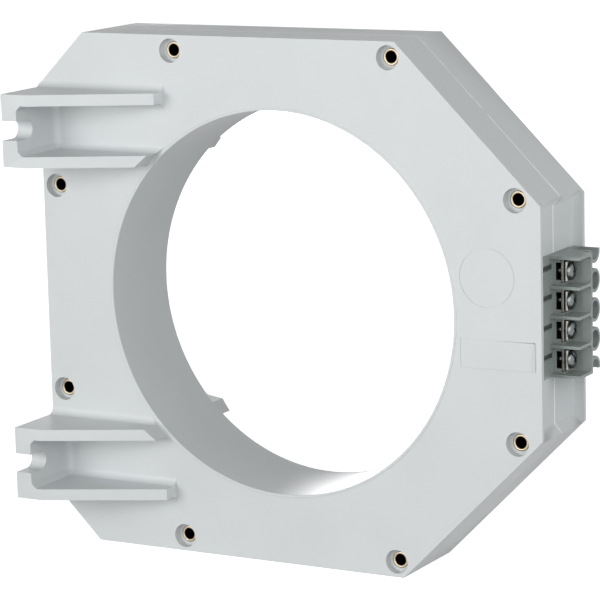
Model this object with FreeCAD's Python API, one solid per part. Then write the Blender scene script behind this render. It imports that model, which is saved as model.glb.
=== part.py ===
"""Ring-type current transformer with a round window, octagonal two-part housing,
four mounting brackets and a four-pole terminal block.

Millimetres. The Y axis is the axis of the window, with the front face towards -Y.
+X points to the terminal block and +Z up. The origin is the centre of the window
on the parting plane of the housing.
"""
import FreeCAD, Part
import math
import os

from FreeCAD import Vector

# Window and housing. Its outline follows from the core, with free room on each side
WINDOW_D = 210.0
HOUSING_DEPTH = 56.0
LEFT_ROOM = 14.4
RIGHT_ROOM = 14.8
TOP_ROOM = 9.4
CHAMFER_RIGHT = 82.0
CHAMFER_LEFT = 29.0
FACE_WALL = 3.0
SIDE_WALL = 3.0
WINDOW_WALL = 3.0

# Joint between the two shells
TONGUE_THICK = 1.2
TONGUE_LENGTH = 2.5
JOINT_CLEARANCE = 0.15
PARTING_BEVEL = 0.4

# Recess of the terminal side, between the lips of the two faces
LIP_THICK = 2.6
RECESS_DEPTH = 5.6
RECESS_START = 1.3
RECESS_RUN = 3.7

# Moulded marks of the front face, left without lettering
MARK_DEPTH = 0.3
DISC_D = 31.6
DISC_FROM_WINDOW = 19.0
DISC_Z = 22.8
PANEL_FROM_WINDOW = 3.0
PANEL_FROM_EDGE = 3.3
PANEL_TOP_Z = -9.4
PANEL_HEIGHT = 16.0

# Mounting brackets, two on each face
BRACKET_HEIGHT = 38.3
BRACKET_END_HEIGHT = 10.3
BRACKET_FROM_TOP = 50.7
BRACKET_SPAN_Z = 40.0
BRACKET_WALL = 6.2
FOOT_WALL = 9.7
FOOT_FLAT = 16.3
BRACKET_LENGTH = 80.3
POCKET_BEVEL = 2.7
BASE_FILLET = 4.2
FOOT_SLOT_W = 10.6
FOOT_SLOT_DEPTH = 15.4
WINDOW_BORDER = 2.4
BRACKET_RUNOUT = 10.0

# Hollow rivets that hold the shells together, and how far they are from the edges
RIVET_FROM_TOP = 8.5
RIVET_FROM_CORNER = 4.0
RIVET_SPACING_X = 132.0
RIVET_FROM_RIGHT = 14.3
RIVET_OVER_CORNER = 2.4
RIVET_FROM_LEFT = 8.5
RIVET_UNDER_BRACKET = 15.0
RIVET_BORE_D = 6.3
RIVET_WALL = 0.45
RIVET_FLANGE_D = 9.4
RIVET_LIP = 0.7
RIVET_CLEARANCE = 0.15
COUNTERBORE_D = 13.0
COUNTERBORE_DEPTH = 5.0
BOSS_WALL = 1.6

# Core, its case and the windings, as rings of rectangular section
CORE_WIDTH = 13.0
CORE_HEIGHT = 22.0
WINDOW_ROOM = 2.9
CASE_WALL = 1.2
WINDING_THICK = 1.6
TAPE_THICK = 0.5
TEST_THICK = 0.9
TEST_ARC_DEG = 26.0
TEST_CENTRE_DEG = 180.0
RING_CLEARANCE = 0.1
PAD_COUNT = 4
PAD_ARC_DEG = 16.0
PAD_START_DEG = 45.0
PAD_CLEARANCE = 0.1

# Terminal block
POLE_COUNT = 4
POLE_PITCH = 15.6
BLOCK_Z = 0.8
BARRIER_THICK = 1.6
BLOCK_FRONT_Y = -4.0
BLOCK_OUT = 18.3
BARRIER_FRONT_Y = -8.5
BLOCK_BACK_WALL = 1.6
BASE_THICK = 1.5
BASE_FRONT_Y = -16.0
BASE_REAR_Y = 19.0
BASE_OVERHANG = 0.3
SLIT_WIDTH = 2.2
SLIT_DEPTH = 0.7
SLIT_END_Y = -6.0
SLIT_RAISE = 2.0
TUBE_Y = 18.4
TUBE_D = 12.8
TUBE_BORE_D = 9.4
TUBE_LENGTH = 15.4
TUBE_FLOOR = 4.0
TUBE_WEB = 5.0
TUBE_WEB_LENGTH = 12.5
WIRE_SPACE_START = 3.2
WIRE_SPACE_W = 9.2
WIRE_SPACE_END_Y = 7.0
BLOCK_GAP = 0.02

# Terminal metal parts
BAR_START = 6.0
BAR_THICK = 1.3
BAR_WIDTH = 12.0
BAR_DEPTH = 10.2
CLAMP_GAP = 0.9
CLAMP_THICK = 1.3
CLAMP_WIDTH = 10.4
CLAMP_DEPTH = 7.6
CLAMP_EDGE_R = 0.9
SLOT_PLAY = 0.2
SCREW_THREAD_D = 3.9
SCREW_HEAD_D = 8.6
SCREW_HEAD_H = 2.6
SCREW_LENGTH = 6.2
SCREW_SLOT_W = 1.1
SCREW_SLOT_DEPTH = 1.3
THREAD_PLAY = 0.1

# Screws that hold the block on the housing
FIXING_HEAD_D = 6.8
FIXING_HEAD_H = 2.0
FIXING_SHANK_D = 3.4
FIXING_LENGTH = 13.0
FIXING_DRIVE_D = 2.6
FIXING_DRIVE_DEPTH = 1.2
FIXING_PLAY = 0.1

# Leads from the windings to the terminal bars
LEAD_D = 1.9
LEAD_PLAY = 0.3
LEAD_SLOT_HALF = 3.0
LEAD_Y = 4.7

# Round shapes that repeat or that other pieces cover are regular prisms: their sides
RING_SIDES = 32
REPEATED_SIDES = 24
SCREW_SIDES = 12
COVERED_SIDES = 8
DRIVE_SIDES = 4

# How far a cutting body runs past the face that it cuts, and when two positions agree
OVERRUN = 1.0
TOLERANCE = 1e-4

# Layers round the core, each by how far its outside is from the core
CASE_END = RING_CLEARANCE + CASE_WALL
WINDING_END = CASE_END + RING_CLEARANCE + WINDING_THICK
TAPE_END = WINDING_END + RING_CLEARANCE + TAPE_THICK

# Places that follow from the sizes
HALF_DEPTH = HOUSING_DEPTH / 2
WINDOW_R = WINDOW_D / 2
CORE_INNER_R = WINDOW_R + WINDOW_WALL + WINDOW_ROOM + TAPE_END
CORE_OUTER_R = CORE_INNER_R + CORE_WIDTH
TAPE_R = CORE_OUTER_R + TAPE_END
HALF_HEIGHT = TAPE_R + TOP_ROOM + SIDE_WALL
LEFT_X = -(TAPE_R + LEFT_ROOM + SIDE_WALL)
FLOOR_X = TAPE_R + RIGHT_ROOM + SIDE_WALL
RIGHT_X = FLOOR_X + RECESS_DEPTH
CORNER_X = RIGHT_X - CHAMFER_RIGHT
CORNER_Z = HALF_HEIGHT - CHAMFER_RIGHT
BRACKET_END_X = LEFT_X + BRACKET_LENGTH
BRACKET_CENTRE_Z = HALF_HEIGHT - BRACKET_FROM_TOP
AXIS_Y = Vector(0, 1, 0)
CENTRE = Vector(0, 0, 0)
PARTS = "parts"


def prism(points, start_y, end_y):
    """Solid between two planes of constant Y, from an outline given as X, Z pairs."""
    corners = [Vector(x, start_y, z) for x, z in points]
    face = Part.Face(Part.makePolygon(corners + corners[:1]))
    return face.extrude(Vector(0, end_y - start_y, 0))


def box(x0, x1, y0, y1, z0, z1):
    """Box between the given coordinates."""
    return Part.makeBox(x1 - x0, y1 - y0, z1 - z0, Vector(x0, y0, z0))


def cylinder_y(radius, start_y, end_y, x=0.0, z=0.0):
    """Cylinder along the window's axis."""
    return Part.makeCylinder(radius, end_y - start_y, Vector(x, start_y, z), AXIS_Y)


def cylinder_x(radius, start_x, end_x, y=0.0, z=0.0):
    """Cylinder along X, the direction in which the terminals face."""
    return Part.makeCylinder(radius, end_x - start_x, Vector(start_x, y, z), Vector(1, 0, 0))


def prism_y(sides, radius, start_y, end_y, x=0.0, z=0.0):
    """Regular prism along the window's axis. The radius is to the middles of its sides."""
    corner = radius / math.cos(math.pi / sides)
    step = 2 * math.pi / sides
    outline = [(x + corner * math.cos((i + 0.5) * step), z + corner * math.sin((i + 0.5) * step))
               for i in range(sides)]
    return prism(outline, start_y, end_y)


def prism_x(sides, radius, start_x, end_x, y=0.0, z=0.0):
    """Regular prism along X. The radius is to the middles of its sides."""
    bar = prism_y(sides, radius, start_x, end_x)
    bar.rotate(CENTRE, Vector(0, 0, 1), -90)
    bar.translate(Vector(0, y, z))
    return bar


def mirrored(shape):
    """The shape on the other side of the parting plane."""
    return shape.mirror(CENTRE, AXIS_Y)


def outer_outline():
    """Octagon of the two faces, as X, Z pairs."""
    left_z = HALF_HEIGHT - CHAMFER_LEFT
    upper = [(LEFT_X, left_z), (LEFT_X + CHAMFER_LEFT, HALF_HEIGHT),
             (CORNER_X, HALF_HEIGHT), (RIGHT_X, CORNER_Z)]
    return upper + [(x, -z) for x, z in reversed(upper)]


def recessed_outline():
    """Octagon with the terminal side set back, as X, Z pairs."""
    upper = outer_outline()[:3]
    upper.append((RIGHT_X - RECESS_START, CORNER_Z + RECESS_START))
    upper.append((FLOOR_X, CORNER_Z - RECESS_RUN))
    return upper + [(x, -z) for x, z in reversed(upper)]


def inset(points, distance):
    """Outline moved inwards by a distance, or outwards by a negative one, with sharp corners."""
    count = len(points)
    lines = []
    for i in range(count):
        ax, az = points[i]
        bx, bz = points[(i + 1) % count]
        length = math.hypot(bx - ax, bz - az)
        nx, nz = (bz - az) / length, -(bx - ax) / length
        lines.append((nx, nz, nx * ax + nz * az + distance))
    moved = []
    for i in range(count):
        a1, b1, c1 = lines[i - 1]
        a2, b2, c2 = lines[i]
        det = a1 * b2 - a2 * b1
        moved.append(((c1 * b2 - c2 * b1) / det, (a1 * c2 - a2 * c1) / det))
    return moved


def rivet_centres():
    """All eight rivet places, as X, Z pairs: four above the middle, and their mirror images."""
    top_x = CORNER_X - RIVET_FROM_CORNER
    top_z = HALF_HEIGHT - RIVET_FROM_TOP
    under_bracket = BRACKET_CENTRE_Z - BRACKET_SPAN_Z / 2 - RIVET_UNDER_BRACKET
    upper = [(top_x - RIVET_SPACING_X, top_z), (top_x, top_z),
             (RIGHT_X - RIVET_FROM_RIGHT, CORNER_Z + RIVET_OVER_CORNER),
             (LEFT_X + RIVET_FROM_LEFT, under_bracket)]
    return [(x, side * z) for x, z in upper for side in (1, -1)]


def bracket_side_profile():
    """Side view of a bracket on the front face, as X, Y pairs: a foot and a falling ramp."""
    top = -HALF_DEPTH - BRACKET_HEIGHT
    root = -HALF_DEPTH
    start = LEFT_X - BASE_FILLET * 2
    ramp_start = LEFT_X + FOOT_FLAT
    fall = (BRACKET_HEIGHT - BRACKET_END_HEIGHT) / (BRACKET_END_X - ramp_start)
    end_x = BRACKET_END_X + BRACKET_RUNOUT
    end = top + fall * (end_x - ramp_start)
    return [(start, root), (start, top), (ramp_start, top), (end_x, end), (end_x, root)]


def upright_edges(shape, x):
    """Edges of a shape that stand on the front face at one X."""
    found = []
    for edge in shape.Edges:
        bounds = edge.BoundBox
        if abs(bounds.Center.x - x) < TOLERANCE and max(bounds.XLength, bounds.ZLength) < TOLERANCE:
            found.append(edge)
    return found


def bracket():
    """Walls of the front face's upper bracket, and a piece of the face's plate under them.

    Both run on past the bracket's end, so that a fillet between them ends cleanly.
    """
    low_z = BRACKET_CENTRE_Z - BRACKET_SPAN_Z / 2
    high_z = BRACKET_CENTRE_Z + BRACKET_SPAN_Z / 2
    profile = [Vector(x, y, low_z) for x, y in bracket_side_profile()]
    wedge = Part.Face(Part.makePolygon(profile + profile[:1])).extrude(Vector(0, 0, BRACKET_SPAN_Z))

    end_x = BRACKET_END_X + BRACKET_RUNOUT
    pocket = box(LEFT_X + FOOT_WALL, end_x + OVERRUN,
                 -HALF_DEPTH - BRACKET_HEIGHT - OVERRUN, -HALF_DEPTH,
                 low_z + BRACKET_WALL, high_z - BRACKET_WALL)
    pocket_corners = upright_edges(pocket, LEFT_X + FOOT_WALL)
    wedge = wedge.cut(pocket.makeChamfer(POCKET_BEVEL, pocket_corners))

    wedge = wedge.cut(cylinder_y(WINDOW_R + WINDOW_BORDER, -HALF_DEPTH - BRACKET_HEIGHT,
                                 -HALF_DEPTH))

    plate = box(LEFT_X - BASE_FILLET * 2, end_x, -HALF_DEPTH, -HALF_DEPTH + FACE_WALL,
                low_z - BASE_FILLET * 2, high_z + BASE_FILLET * 2)
    return plate, wedge


def flared_bracket():
    """Bracket with a concave fillet where its walls leave the face, and a flat end."""
    plate, wedge = bracket()
    joined = plate.fuse(wedge).removeSplitter()
    root = [edge for edge in joined.Edges if is_root_edge(edge)]
    past_end = box(BRACKET_END_X, BRACKET_END_X + BRACKET_RUNOUT + OVERRUN,
                   -HALF_DEPTH - BRACKET_HEIGHT, -HALF_DEPTH,
                   BRACKET_CENTRE_Z - BRACKET_SPAN_Z, BRACKET_CENTRE_Z + BRACKET_SPAN_Z)
    return joined.makeFillet(BASE_FILLET, root).cut(past_end)


def is_root_edge(edge):
    """True for an edge where a bracket's wall meets the front face, away from the window."""
    bounds = edge.BoundBox
    on_face = abs(bounds.YMin + HALF_DEPTH) < TOLERANCE and bounds.YLength < TOLERANCE
    middle = edge.valueAt((edge.FirstParameter + edge.LastParameter) / 2)
    inside = LEFT_X - BASE_FILLET < middle.x < BRACKET_END_X + BRACKET_RUNOUT - TOLERANCE
    near = abs(middle.z - BRACKET_CENTRE_Z) < BRACKET_SPAN_Z / 2 + TOLERANCE
    beside_window = math.hypot(middle.x, middle.z) < WINDOW_R + WINDOW_BORDER + TOLERANCE
    return on_face and inside and near and not beside_window


def foot_slots(shape):
    """Cuts the slot, open to the front and round at its end, through the foot's wall."""
    half = FOOT_SLOT_W / 2
    top = -HALF_DEPTH - BRACKET_HEIGHT
    round_y = top + FOOT_SLOT_DEPTH - half
    x0, x1 = LEFT_X - OVERRUN, LEFT_X + FOOT_WALL + OVERRUN
    mouth = box(x0, x1, top - OVERRUN, round_y, BRACKET_CENTRE_Z - half, BRACKET_CENTRE_Z + half)
    end = cylinder_x(half, x0, x1, round_y, BRACKET_CENTRE_Z)
    return shape.cut(mouth.fuse(end))


def brackets():
    """Both brackets of the front face, trimmed to the octagon."""
    upper = foot_slots(flared_bracket())
    reach = HALF_DEPTH + BRACKET_HEIGHT + OVERRUN
    upper = upper.common(prism(outer_outline(), -reach, -HALF_DEPTH + LIP_THICK))
    lower = upper.mirror(CENTRE, Vector(0, 0, 1))
    return upper.fuse(lower)


def half_shell():
    """Front half of the housing without its marks and its joint."""
    lip = prism(outer_outline(), -HALF_DEPTH, -HALF_DEPTH + LIP_THICK)
    wall = prism(recessed_outline(), -HALF_DEPTH + LIP_THICK, 0)
    tube = prism_y(RING_SIDES, WINDOW_R + WINDOW_WALL, -HALF_DEPTH, 0)
    body = lip.fuse([wall, brackets()])

    hollow = prism(inset(recessed_outline(), SIDE_WALL), -HALF_DEPTH + FACE_WALL, OVERRUN)
    hollow = hollow.cut(tube).cut(boss_posts(0))
    window = cylinder_y(WINDOW_R, -HALF_DEPTH - OVERRUN, OVERRUN)
    body = body.cut([hollow, window])

    hole_r = RIVET_BORE_D / 2 + RIVET_WALL + RIVET_CLEARANCE
    for x, z in rivet_centres():
        body = body.cut(prism_y(COVERED_SIDES, hole_r, -HALF_DEPTH, OVERRUN, x, z))
        body = body.cut(prism_y(REPEATED_SIDES, COUNTERBORE_D / 2, -HALF_DEPTH - OVERRUN,
                                -HALF_DEPTH + COUNTERBORE_DEPTH, x, z))
    return bevel_parting_edge(body)


def bevel_parting_edge(body):
    """Small bevel along the outer edge at the parting plane, half of the visible line."""
    bevel = PARTING_BEVEL
    outline = recessed_outline()
    kept = Part.makeLoft([wire_at(outline, -bevel), wire_at(inset(outline, bevel), 0)], True)
    return body.cut(edge_band(outline, bevel).cut(kept))


def wire_at(points, y):
    """Closed outline at one Y."""
    corners = [Vector(x, y, z) for x, z in points]
    return Part.makePolygon(corners + corners[:1])


def edge_band(points, depth):
    """Band just inside and outside an outline, next to the parting plane."""
    outside = prism(inset(points, -OVERRUN), -depth, 0)
    inside = prism(inset(points, 2 * depth), -depth, 0)
    return outside.cut(inside)


def tongue():
    """Rim of the front shell that enters the rear shell."""
    outer = inset(recessed_outline(), SIDE_WALL - TONGUE_THICK)
    inner = inset(recessed_outline(), SIDE_WALL)
    hollow = prism(inner, -2 * OVERRUN, TONGUE_LENGTH + OVERRUN)
    return prism(outer, -OVERRUN, TONGUE_LENGTH).cut(hollow)


def tongue_groove():
    """Space in the rear shell for the front shell's rim, with clearance."""
    play = JOINT_CLEARANCE
    outer = inset(recessed_outline(), SIDE_WALL - TONGUE_THICK - play)
    inner = inset(recessed_outline(), SIDE_WALL + play)
    hollow = prism(inner, -2 * OVERRUN, TONGUE_LENGTH + OVERRUN)
    return prism(outer, -OVERRUN, TONGUE_LENGTH + play).cut(hollow)


def boss_posts(extra):
    """Bosses round the rivets as full posts, with extra radius."""
    radius = COUNTERBORE_D / 2 + BOSS_WALL + extra
    posts = [prism_y(COVERED_SIDES, radius, -HALF_DEPTH, HALF_DEPTH, x, z)
             for x, z in rivet_centres()]
    return posts[0].fuse(posts[1:])


def lead_opening():
    """Opening in the recess's floor, under the block, for the leads."""
    reach = POLE_PITCH * POLE_COUNT / 2 - POLE_PITCH / 4
    return box(FLOOR_X - SIDE_WALL - OVERRUN, FLOOR_X + OVERRUN,
               -LEAD_SLOT_HALF, LEAD_SLOT_HALF + LEAD_Y, BLOCK_Z - reach, BLOCK_Z + reach)


def fixing_holes():
    """Holes in the recess's floor for the block's fixing screws."""
    radius = FIXING_SHANK_D / 2 + FIXING_PLAY
    end = FLOOR_X - FIXING_LENGTH - OVERRUN
    holes = [prism_x(COVERED_SIDES, radius, end, FLOOR_X + OVERRUN, TUBE_Y, z)
             for z in fixing_levels()]
    return holes[0].fuse(holes[1:])


def fixing_posts():
    """Posts behind the recess's floor that the block's fixing screws bite into."""
    radius = FIXING_SHANK_D / 2 + BOSS_WALL
    depth = FIXING_LENGTH - TUBE_FLOOR
    posts = [prism_x(COVERED_SIDES, radius, FLOOR_X - depth, FLOOR_X - SIDE_WALL / 2, TUBE_Y, z)
             for z in fixing_levels()]
    return posts[0].fuse(posts[1:])


def fixing_levels():
    """Z of the two fixing screws, which sit in the outer full tubes."""
    return (BLOCK_Z + POLE_PITCH, BLOCK_Z - POLE_PITCH)


def front_marks():
    """Shallow disc and panel of the front face."""
    face = -HALF_DEPTH
    disc = cylinder_y(DISC_D / 2, face - OVERRUN, face + MARK_DEPTH,
                      WINDOW_R + DISC_FROM_WINDOW, DISC_Z)
    panel = box(WINDOW_R + PANEL_FROM_WINDOW, RIGHT_X - PANEL_FROM_EDGE, face - OVERRUN,
                face + MARK_DEPTH, PANEL_TOP_Z - PANEL_HEIGHT, PANEL_TOP_Z)
    return disc.fuse(panel)


def front_shell(half):
    """Front half of the housing, with marks, brackets and the joint's rim."""
    rim = tongue().cut(boss_posts(JOINT_CLEARANCE))
    return half.cut(front_marks()).fuse(rim).cut(lead_opening()).removeSplitter()


def rear_shell(half):
    """Rear half of the housing, which takes the front shell's rim."""
    shell = mirrored(half)
    groove = tongue_groove().cut(boss_posts(0))
    shell = shell.fuse(fixing_posts()).cut(groove).cut(lead_opening()).cut(fixing_holes())
    return shell.removeSplitter()


def hollow_rivets():
    """Tubes with both ends rolled out over the counterbores' floors."""
    seat = HALF_DEPTH - COUNTERBORE_DEPTH
    bore = RIVET_BORE_D / 2
    end = seat + RIVET_LIP
    tube = prism_y(COVERED_SIDES, bore + RIVET_WALL, -end, end)
    rim = prism_y(COVERED_SIDES, RIVET_FLANGE_D / 2, seat, end)
    rivet = tube.fuse([rim, mirrored(rim)]).cut(cylinder_y(bore, -end, end))
    copies = []
    for x, z in rivet_centres():
        copy = rivet.copy()
        copy.translate(Vector(x, 0, z))
        copies.append(copy)
    return Part.makeCompound(copies)


def ring(distance):
    """Closed ring round the core, at a distance outside each of its four faces."""
    half = CORE_HEIGHT / 2 + distance
    outer = prism_y(RING_SIDES, CORE_OUTER_R + distance, -half, half)
    return outer.cut(prism_y(RING_SIDES, CORE_INNER_R - distance, -half, half))


def layer(start, thick):
    """Layer round the core: its start and its thickness outside the core."""
    return ring(start + thick).cut(ring(start))


def sector(centre_deg, arc_deg):
    """Wedge about the window's axis, through the whole depth."""
    reach = CORE_OUTER_R * 2
    angles = [math.radians(centre_deg + side * arc_deg / 2) for side in (-1, 1)]
    outline = [(0, 0)] + [(reach * math.cos(a), reach * math.sin(a)) for a in angles]
    return prism(outline, -HALF_DEPTH, HALF_DEPTH)


def core():
    """Wound strip core, as one ring."""
    return ring(0)


def core_case():
    """Tray and lid of the core's protective case."""
    closed = layer(RING_CLEARANCE, CASE_WALL)
    reach = CORE_OUTER_R + CASE_WALL + OVERRUN
    split_y = CORE_HEIGHT / 2 + RING_CLEARANCE
    lid_side = box(-reach, reach, split_y, split_y + CASE_WALL + OVERRUN, -reach, reach)
    return closed.cut(lid_side), closed.common(lid_side)


def test_band():
    """Short band of turns over the taped ring, for the test winding."""
    band = layer(TAPE_END + RING_CLEARANCE, TEST_THICK)
    return band.common(sector(TEST_CENTRE_DEG, TEST_ARC_DEG))


def pads():
    """Foam pads between the taped ring and the shells' faces."""
    low = CORE_HEIGHT / 2 + TAPE_END + PAD_CLEARANCE
    high = HALF_DEPTH - FACE_WALL - PAD_CLEARANCE
    foam = prism_y(RING_SIDES, CORE_OUTER_R, low, high)
    foam = foam.cut(prism_y(RING_SIDES, CORE_INNER_R, low, high))
    pieces = []
    for i in range(PAD_COUNT):
        pad = foam.common(sector(PAD_START_DEG + i * 360.0 / PAD_COUNT, PAD_ARC_DEG))
        pieces.extend([pad, mirrored(pad)])
    return Part.makeCompound(pieces)


def pole_levels():
    """Z of the poles, from the top."""
    return [BLOCK_Z + POLE_PITCH * ((POLE_COUNT - 1) / 2 - i) for i in range(POLE_COUNT)]


def tube_levels():
    """Z of the barriers and tubes, between the poles and at both ends."""
    return [BLOCK_Z + POLE_PITCH * (POLE_COUNT / 2 - i) for i in range(POLE_COUNT + 1)]


def barrier(z):
    """Plate between two poles, which stands out to the front."""
    half = BARRIER_THICK / 2
    return box(FLOOR_X + BLOCK_GAP, FLOOR_X + BLOCK_OUT, BARRIER_FRONT_Y,
               BLOCK_FRONT_Y + OVERRUN, z - half, z + half)


def block_half():
    """Half of the block's height."""
    return POLE_PITCH * POLE_COUNT / 2 + BARRIER_THICK / 2


def pole_space(z):
    """Hollow of one pole: screw trough, seat of the bar and wire space."""
    trough_r = (POLE_PITCH - BARRIER_THICK) / 2
    bar_top = FLOOR_X + BAR_START + BAR_THICK + SLOT_PLAY
    out = FLOOR_X + BLOCK_OUT + OVERRUN
    front = BLOCK_FRONT_Y - OVERRUN
    trough = box(bar_top, out, front, 0, z - trough_r, z + trough_r)
    trough = trough.fuse(cylinder_x(trough_r, bar_top, out, 0, z))
    half_bar = BAR_WIDTH / 2 + SLOT_PLAY
    seat = box(FLOOR_X + BAR_START - BLOCK_GAP, bar_top + BLOCK_GAP, front,
               BLOCK_FRONT_Y + BAR_DEPTH + SLOT_PLAY, z - half_bar, z + half_bar)
    half_wire = WIRE_SPACE_W / 2
    wire = box(FLOOR_X + WIRE_SPACE_START, FLOOR_X + BAR_START + BLOCK_GAP, front,
               WIRE_SPACE_END_Y, z - half_wire, z + half_wire)
    return trough.fuse([seat, wire])


def block_tube(z):
    """One fixing tube with its web to the poles."""
    start = FLOOR_X + BLOCK_GAP
    tube = prism_x(REPEATED_SIDES, TUBE_D / 2, start, FLOOR_X + TUBE_LENGTH, TUBE_Y, z)
    web = box(start, FLOOR_X + TUBE_WEB_LENGTH, 0, TUBE_Y, z - TUBE_WEB / 2, z + TUBE_WEB / 2)
    return tube.fuse(web)


def tube_bore(z):
    """Hollow of one fixing tube."""
    end = FLOOR_X + TUBE_LENGTH + OVERRUN
    return prism_x(REPEATED_SIDES, TUBE_BORE_D / 2, FLOOR_X + TUBE_FLOOR, end, TUBE_Y, z)


def fixing_hole(z):
    """Hole in the floor of a fixing tube for its screw."""
    radius = FIXING_SHANK_D / 2 + FIXING_PLAY
    return prism_x(COVERED_SIDES, radius, FLOOR_X, FLOOR_X + TUBE_FLOOR, TUBE_Y, z)


def lead_hole(z):
    """Hole for a lead, from the floor to the underside of its bar."""
    radius = LEAD_D / 2 + LEAD_PLAY
    return prism_x(COVERED_SIDES, radius, FLOOR_X, FLOOR_X + BAR_START, LEAD_Y, z)


def base_slit(z):
    """Slit in the base plate in front of one pole."""
    floor = FLOOR_X + BASE_THICK
    return box(floor - SLIT_DEPTH, floor + OVERRUN, BASE_FRONT_Y - OVERRUN, SLIT_END_Y,
               z + SLIT_RAISE - SLIT_WIDTH / 2, z + SLIT_RAISE + SLIT_WIDTH / 2)


def terminal_block():
    """Moulded block with four poles open to the front, fixing tubes and a base plate."""
    start = FLOOR_X + BLOCK_GAP
    low, high = BLOCK_Z - block_half(), BLOCK_Z + block_half()
    rear = (POLE_PITCH - BARRIER_THICK) / 2 + BLOCK_BACK_WALL
    body = box(start, FLOOR_X + BLOCK_OUT, BLOCK_FRONT_Y, rear, low, high)
    trim = box(FLOOR_X, FLOOR_X + BLOCK_OUT, -HALF_DEPTH, HALF_DEPTH, low, high)
    tubes = [block_tube(z).common(trim) for z in tube_levels()]
    barriers = [barrier(z) for z in tube_levels()]
    base = box(start, FLOOR_X + BASE_THICK, BASE_FRONT_Y, BASE_REAR_Y,
               low - BASE_OVERHANG, high + BASE_OVERHANG)
    body = body.fuse(tubes + barriers + [base])
    cuts = [tube_bore(z) for z in tube_levels()] + [fixing_hole(z) for z in fixing_levels()]
    for z in pole_levels():
        cuts.append(pole_space(z))
        cuts.append(lead_hole(z))
        cuts.append(base_slit(z))
    return body.cut(cuts).removeSplitter()


def screw_hole(z):
    """Hole for the screw of one pole through its bar and its plate."""
    start = FLOOR_X + BAR_START
    radius = SCREW_THREAD_D / 2 + THREAD_PLAY
    return prism_x(SCREW_SIDES, radius, start, clamp_start() + CLAMP_THICK, 0, z)


def contact_bar(z):
    """Fixed bar of one pole, with the threaded hole of its screw."""
    start = FLOOR_X + BAR_START
    bar = box(start, start + BAR_THICK, BLOCK_FRONT_Y + SLOT_PLAY, BLOCK_FRONT_Y + BAR_DEPTH,
              z - BAR_WIDTH / 2, z + BAR_WIDTH / 2)
    return bar.cut(screw_hole(z))


def clamp_start():
    """X of the clamp plate's inner face when the clamp is closed."""
    return FLOOR_X + BAR_START + BAR_THICK + CLAMP_GAP


def clamp_plate(z):
    """Plate that the screw lifts and presses on the wires, with its front edge turned down."""
    start = clamp_start()
    front = BLOCK_FRONT_Y + SLOT_PLAY
    half = CLAMP_WIDTH / 2
    plate = box(start, start + CLAMP_THICK, front, front + CLAMP_DEPTH, z - half, z + half)
    outer_front = [edge for edge in plate.Edges
                   if edge.BoundBox.XMin > start + CLAMP_THICK - TOLERANCE
                   and edge.BoundBox.YMax < front + TOLERANCE]
    return plate.makeFillet(CLAMP_EDGE_R, outer_front).cut(screw_hole(z))


def clamp_screw(z):
    """Terminal screw with a slotted head."""
    seat = clamp_start() + CLAMP_THICK + BLOCK_GAP
    head = cylinder_x(SCREW_HEAD_D / 2, seat, seat + SCREW_HEAD_H, 0, z)
    floor = seat + SCREW_HEAD_H - SCREW_SLOT_DEPTH
    shank = prism_x(SCREW_SIDES, SCREW_THREAD_D / 2, seat - SCREW_LENGTH, floor, 0, z)
    reach = SCREW_HEAD_D / 2 + OVERRUN
    half = SCREW_SLOT_W / 2
    slot = box(floor, floor + SCREW_HEAD_H, -reach, reach, z - half, z + half)
    return head.fuse(shank).cut(slot).removeSplitter()


def fixing_screws():
    """Screws in the tubes that hold the block on the rear shell."""
    seat = FLOOR_X + TUBE_FLOOR + BLOCK_GAP
    pieces = []
    for z in fixing_levels():
        head = prism_x(COVERED_SIDES, FIXING_HEAD_D / 2, seat, seat + FIXING_HEAD_H, TUBE_Y, z)
        floor = seat + FIXING_HEAD_H - FIXING_DRIVE_DEPTH
        shank = prism_x(COVERED_SIDES, FIXING_SHANK_D / 2, seat - FIXING_LENGTH, floor, TUBE_Y, z)
        drive = prism_x(DRIVE_SIDES, FIXING_DRIVE_D / 2, floor, seat + FIXING_HEAD_H, TUBE_Y, z)
        pieces.append(head.fuse(shank).cut(drive).removeSplitter())
    return Part.makeCompound(pieces)


def leads():
    """Insulated leads from the taped ring to the undersides of the bars."""
    ring_r = TAPE_R + RING_CLEARANCE * 2
    end = FLOOR_X + BAR_START - BLOCK_GAP
    pieces = []
    for z in pole_levels():
        start = math.sqrt(ring_r ** 2 - (abs(z) - LEAD_D) ** 2)
        pieces.append(prism_x(COVERED_SIDES, LEAD_D / 2, start, end, LEAD_Y, z))
    return Part.makeCompound(pieces)


def all_parts():
    """Every piece of the transformer, by the name of its node."""
    half = half_shell()
    tray, lid = core_case()
    parts = {
        "front_shell": front_shell(half.copy()),
        "rear_shell": rear_shell(half.copy()),
        "hollow_rivets": hollow_rivets(),
        "magnetic_core": core(),
        "core_case_tray": tray,
        "core_case_lid": lid,
        "secondary_winding": layer(CASE_END + RING_CLEARANCE, WINDING_THICK),
        "insulation_tape": layer(WINDING_END + RING_CLEARANCE, TAPE_THICK),
        "test_winding": test_band(),
        "foam_pads": pads(),
        "winding_leads": leads(),
        "terminal_block": terminal_block(),
        "block_fixing_screws": fixing_screws(),
    }
    for number, z in enumerate(pole_levels(), start=1):
        parts[f"contact_bar_{number}"] = contact_bar(z)
        parts[f"clamp_plate_{number}"] = clamp_plate(z)
        parts[f"clamp_screw_{number}"] = clamp_screw(z)
    return parts


def main():
    os.makedirs(PARTS, exist_ok=True)
    for name, shape in all_parts().items():
        shape.exportStep(os.path.join(PARTS, name + ".step"))
        print(name, len(shape.Solids), "solid(s)", round(shape.Volume / 1000, 2), "cm3",
              "valid" if shape.isValid() else "NOT VALID")


if __name__ == "__main__":
    main()
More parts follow.
